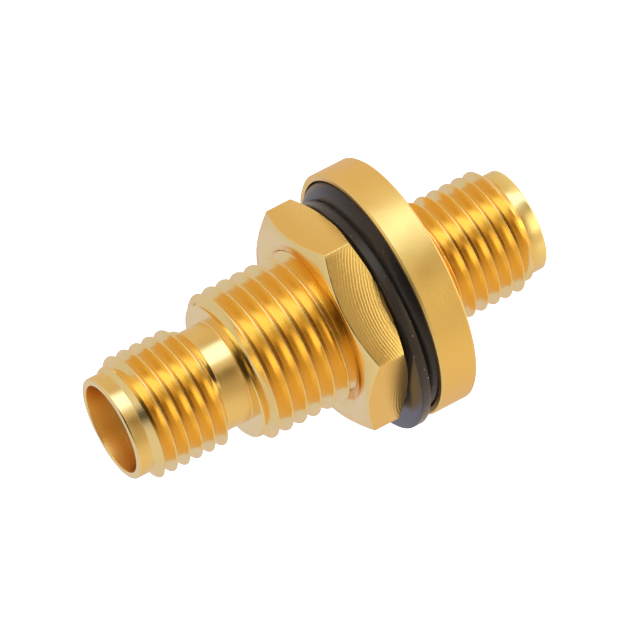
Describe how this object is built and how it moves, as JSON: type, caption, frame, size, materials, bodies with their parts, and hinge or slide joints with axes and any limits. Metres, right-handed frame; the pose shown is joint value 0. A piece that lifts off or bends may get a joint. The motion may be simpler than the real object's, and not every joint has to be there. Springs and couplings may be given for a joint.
{
  "type": "sma connector",
  "caption": "Coaxial bulkhead adapter with a threaded SMA jack at each end, a flange with an O-ring, a loose flat gasket and a hex nut that screws along the bulkhead thread.",
  "frame": {"origin": "centre of the mouth of the jack beside the flange, which the adapter stands on", "axes": "+Z along the adapter's axis, from the flange-side jack towards the long side with the bulkhead thread; +X and +Y are square to it, and the nut's corners lie 3.1 degrees behind +X"},
  "size_m": [0.0131, 0.013, 0.0233],
  "materials": {
    "gold_plated_brass": "gold plated, turned, bright threads and a satin flange",
    "gold_plated_nut": "gold plated, satin, with milling arcs on the flats",
    "gold_plated_contact": "gold plated spring contact",
    "white_insulator": "waxy white fluoropolymer",
    "black_rubber": "matte black",
    "black_gasket": "smooth satin black"
  },
  "bodies": {
    "adapter": {"connector_body": "gold_plated_brass", "center_contact": "gold_plated_contact", "long_side_insulator": "white_insulator", "flange_side_insulator": "white_insulator", "face_oring": "black_rubber"},
    "gasket": {"panel_gasket": "black_gasket"},
    "nut": {"hex_nut": "gold_plated_nut"}
  },
  "joints": [
    {"name": "gasket_lift", "type": "slide", "parent": "adapter", "child": "gasket", "axis": [0, 0, 1], "range_m": [0, 0.00436]},
    {"name": "nut_screw", "type": "hinge", "parent": "gasket", "child": "nut", "pos_m": [0, 0, 0.01071], "axis": [0, 0, 1], "range_deg": [0, 1980]}
  ],
  "couplings": [
    {"joint": "nut_screw", "follows": "gasket_lift", "rad_per_m": 7915.8}
  ]
}
